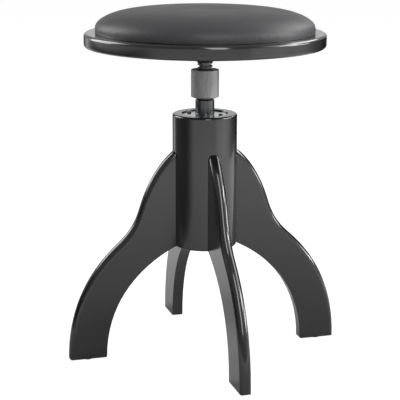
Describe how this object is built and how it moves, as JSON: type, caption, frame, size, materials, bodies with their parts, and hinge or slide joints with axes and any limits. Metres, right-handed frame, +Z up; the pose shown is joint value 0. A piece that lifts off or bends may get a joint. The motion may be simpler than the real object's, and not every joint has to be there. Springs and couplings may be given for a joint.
{
  "type": "piano stool",
  "caption": "Round padded piano stool on a screwed spindle with a lock collar, over a turned post with shaped legs.",
  "frame": {"origin": "on the floor, on the axis of the spindle and the post", "axes": "+Z up along the spindle; +X to the right in the picture; the legs stand 16.5 degrees anticlockwise of +X, +Y, -X and -Y seen from above"},
  "size_m": [0.4014, 0.4014, 0.5155],
  "materials": {
    "black_lacquered_wood": "gloss",
    "raw_plywood": "matte",
    "beech_dowel": "matte",
    "black_leatherette": "satin",
    "seat_foam": "matte",
    "black_oxide_steel": "satin",
    "zinc_plated_steel": "satin",
    "satin_grey_steel": "satin",
    "black_nylon": "matte"
  },
  "bodies": {
    "base": {"post": "black_lacquered_wood", "leg_right": "black_lacquered_wood", "leg_back": "black_lacquered_wood", "leg_left": "black_lacquered_wood", "leg_front": "black_lacquered_wood", "dowel_right_1": "beech_dowel", "dowel_right_2": "beech_dowel", "dowel_back_1": "beech_dowel", "dowel_back_2": "beech_dowel", "dowel_left_1": "beech_dowel", "dowel_left_2": "beech_dowel", "dowel_front_1": "beech_dowel", "dowel_front_2": "beech_dowel", "glide_right": "black_nylon", "glide_back": "black_nylon", "glide_left": "black_nylon", "glide_front": "black_nylon", "nut_flange": "zinc_plated_steel", "nut_bush": "black_oxide_steel", "flange_screw_1": "black_oxide_steel", "flange_screw_2": "black_oxide_steel", "flange_screw_3": "black_oxide_steel", "flange_screw_4": "black_oxide_steel"},
    "seat_guide": {"guide_bush": "black_nylon"},
    "seat": {"seat_board": "black_lacquered_wood", "seat_cover": "black_leatherette", "seat_foam": "seat_foam", "pad_base": "raw_plywood", "pad_screw_1": "zinc_plated_steel", "pad_screw_2": "zinc_plated_steel", "pad_screw_3": "zinc_plated_steel", "pad_screw_4": "zinc_plated_steel", "seat_flange": "black_oxide_steel", "seat_flange_screw_1": "black_oxide_steel", "seat_flange_screw_2": "black_oxide_steel", "seat_flange_screw_3": "black_oxide_steel", "seat_flange_screw_4": "black_oxide_steel", "hub_pin": "zinc_plated_steel", "spindle": "black_oxide_steel", "stop_washer": "zinc_plated_steel", "end_screw": "zinc_plated_steel"},
    "lock_ring": {"lock_washer": "black_nylon"},
    "lock_collar": {"lock_collar": "satin_grey_steel"}
  },
  "joints": [
    {"name": "seat_height", "type": "slide", "parent": "base", "child": "seat_guide", "axis": [0, 0, 1], "range_m": [-0.0045, 0.11]},
    {"name": "seat_turn", "type": "hinge", "parent": "seat_guide", "child": "seat", "pos_m": [0, 0, 0.46], "axis": [0, 0, 1], "range_deg": [-324.1, 7920.1]},
    {"name": "lock_travel", "type": "slide", "parent": "base", "child": "lock_ring", "axis": [0, 0, 1], "range_m": [-0.0015, 0.006]},
    {"name": "lock_turn", "type": "hinge", "parent": "lock_ring", "child": "lock_collar", "pos_m": [0, 0, 0.405], "axis": [0, 0, 1], "range_deg": [-108.1, 432.1]}
  ],
  "couplings": [
    {"joint": "seat_turn", "follows": "seat_height", "rad_per_m": 1256.6},
    {"joint": "lock_turn", "follows": "lock_travel", "rad_per_m": 1256.6}
  ]
}
